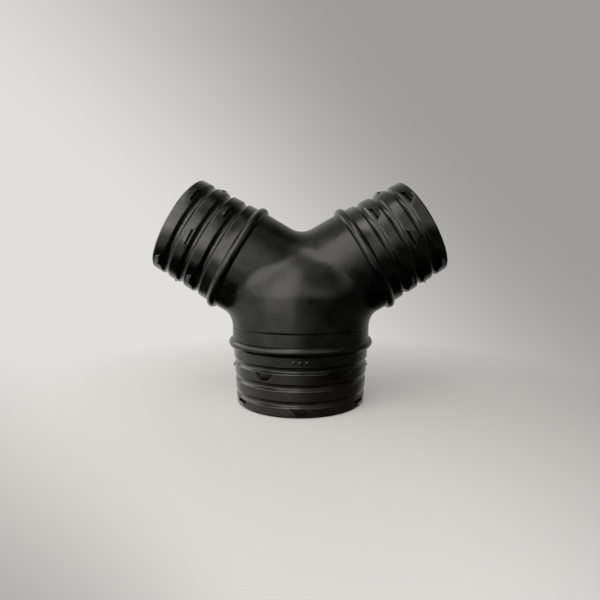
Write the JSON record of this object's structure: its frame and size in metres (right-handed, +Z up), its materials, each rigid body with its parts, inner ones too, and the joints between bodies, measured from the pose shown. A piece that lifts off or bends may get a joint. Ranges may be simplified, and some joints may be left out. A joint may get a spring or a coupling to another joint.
{
  "type": "y duct connector",
  "caption": "Hollow black plastic Y connector that splits a wide air hose into two narrower ones. Each neck has ribbed bands, small lugs and a raised bead that stops the hose.",
  "frame": {"origin": "centre of the wide neck's rim, which the part stands on", "axes": "+Z up the wide neck to the hub, +X towards the right arm, -Y the side that the picture shows"},
  "size_m": [0.1698, 0.0852, 0.1286],
  "materials": {
    "black_plastic": "satin black, as moulded"
  },
  "bodies": {
    "root": {"y_duct_body": "black_plastic"}
  },
  "joints": []
}
